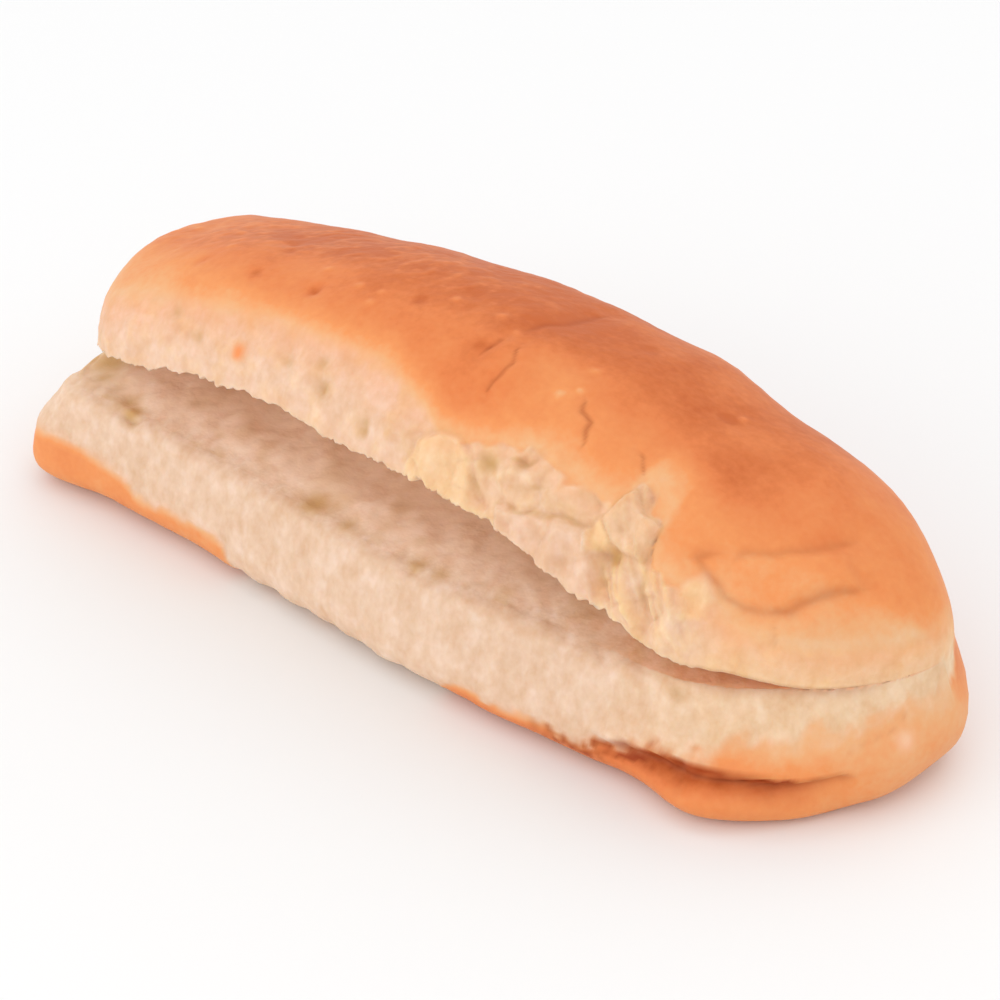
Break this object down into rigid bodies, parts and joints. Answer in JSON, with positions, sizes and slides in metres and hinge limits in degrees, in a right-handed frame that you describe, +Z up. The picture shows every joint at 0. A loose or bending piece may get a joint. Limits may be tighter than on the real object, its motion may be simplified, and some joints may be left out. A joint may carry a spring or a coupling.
{
  "type": "bread roll",
  "caption": "Soft finger roll slit along one side, its mouth ajar for a filling, resting on its flat base.",
  "frame": {"origin": "middle of the bounding box, on the table under the flat base", "axes": "+X along the roll towards the end where the slit stops short, -Y towards the mouth, +Z up"},
  "size_m": [0.1504, 0.0536, 0.0474],
  "materials": {
    "crust": "soft, faintly glossy baked crust with torn pale crumb along the slit"
  },
  "bodies": {
    "root": {"bread_roll": "crust"}
  },
  "joints": []
}
